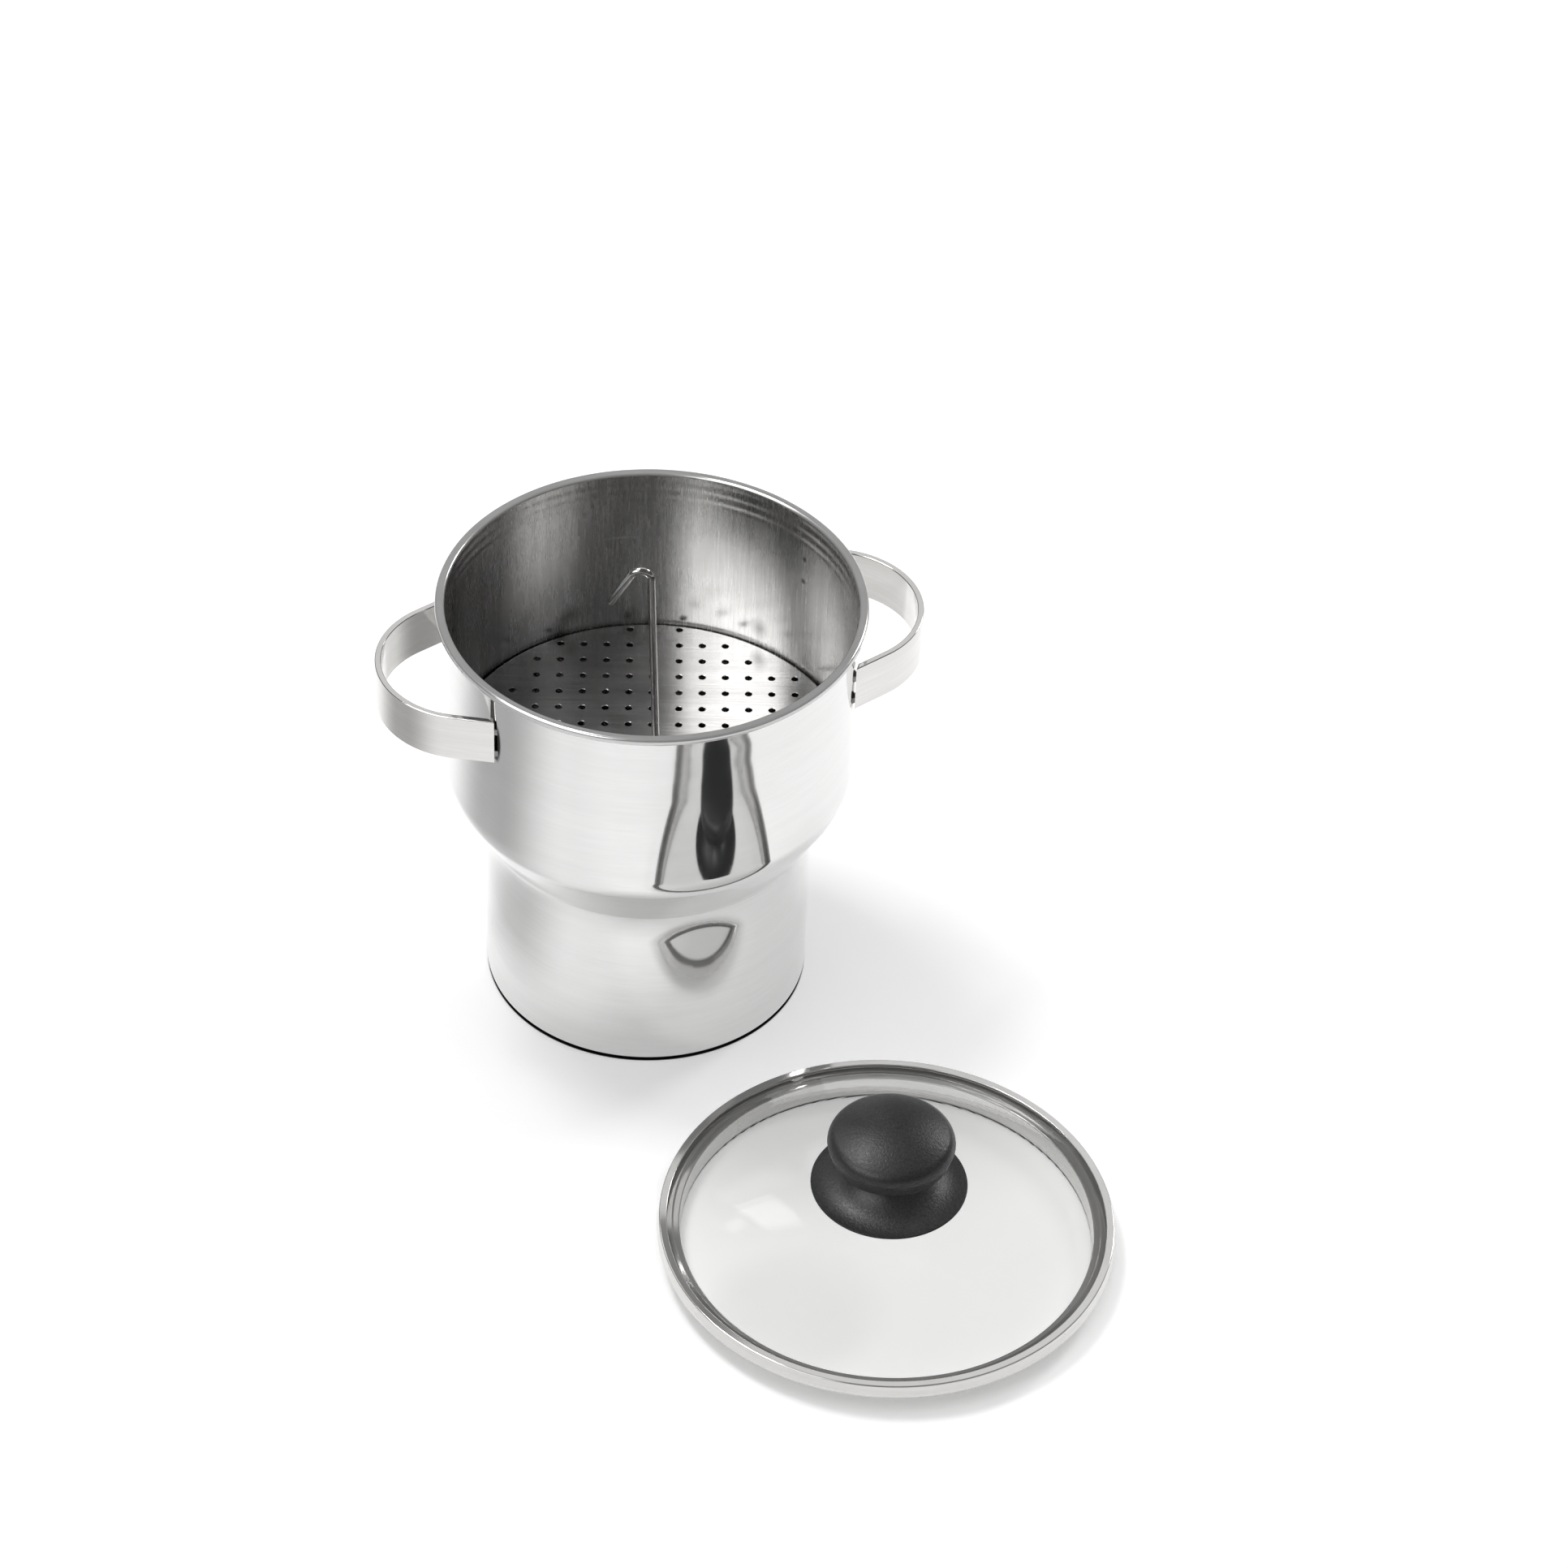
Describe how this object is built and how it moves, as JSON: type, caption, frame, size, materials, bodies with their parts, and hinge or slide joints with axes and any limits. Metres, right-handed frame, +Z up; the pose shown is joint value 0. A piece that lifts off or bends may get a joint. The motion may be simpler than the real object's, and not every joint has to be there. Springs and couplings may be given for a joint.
{
  "type": "egg cooker",
  "caption": "Stepped round steel egg cooker pot with strap handles, a lift-out perforated strainer on a wire hook, and a domed glass lid with a black knob beside it.",
  "frame": {"origin": "centre of the underside of the pot, on the surface it stands on", "axes": "+Z up along the pot's axis; -Y is the front, and the lid lies in front and to the right, 60 degrees round from +X; +X is to the right; the strap handles lie 14.5 degrees round from +X and from -X"},
  "size_m": [0.2885, 0.3349, 0.1994],
  "materials": {
    "pot_steel": "stainless steel, mirror polished outside and satin inside",
    "handle_steel": "stainless steel strap, polished with fine draw lines",
    "weld_steel": "resistance welded nuggets, dull grey",
    "strainer_steel": "stainless steel sheet, brushed, punched",
    "wire_steel": "drawn stainless wire, bright",
    "lid_glass": "clear tempered glass",
    "ring_steel": "stainless steel band, polished",
    "knob_black": "black phenolic resin, satin with a fine grain",
    "screw_steel": "stainless steel, bright",
    "seal_rubber": "pale silicone rubber"
  },
  "bodies": {
    "pot": {"pot_body": "pot_steel", "handle_right": "handle_steel", "handle_left": "handle_steel", "handle_right_welds": "weld_steel", "handle_left_welds": "weld_steel"},
    "strainer": {"strainer_plate": "strainer_steel", "lift_hook": "wire_steel", "hook_washer_upper": "wire_steel", "hook_washer_lower": "wire_steel"},
    "lid": {"lid_glass": "lid_glass", "lid_ring": "ring_steel", "knob_cap": "knob_black", "knob_skirt": "knob_black", "knob_screw": "screw_steel", "screw_washer": "screw_steel", "screw_seal": "seal_rubber"}
  },
  "joints": [
    {"name": "strainer_lift", "type": "slide", "parent": "pot", "child": "strainer", "axis": [0, 0, 1], "range_m": [0, 0.09]},
    {"name": "lid_lift", "type": "slide", "parent": "pot", "child": "lid", "axis": [0, 0, 1], "range_m": [0, 0.2]}
  ]
}
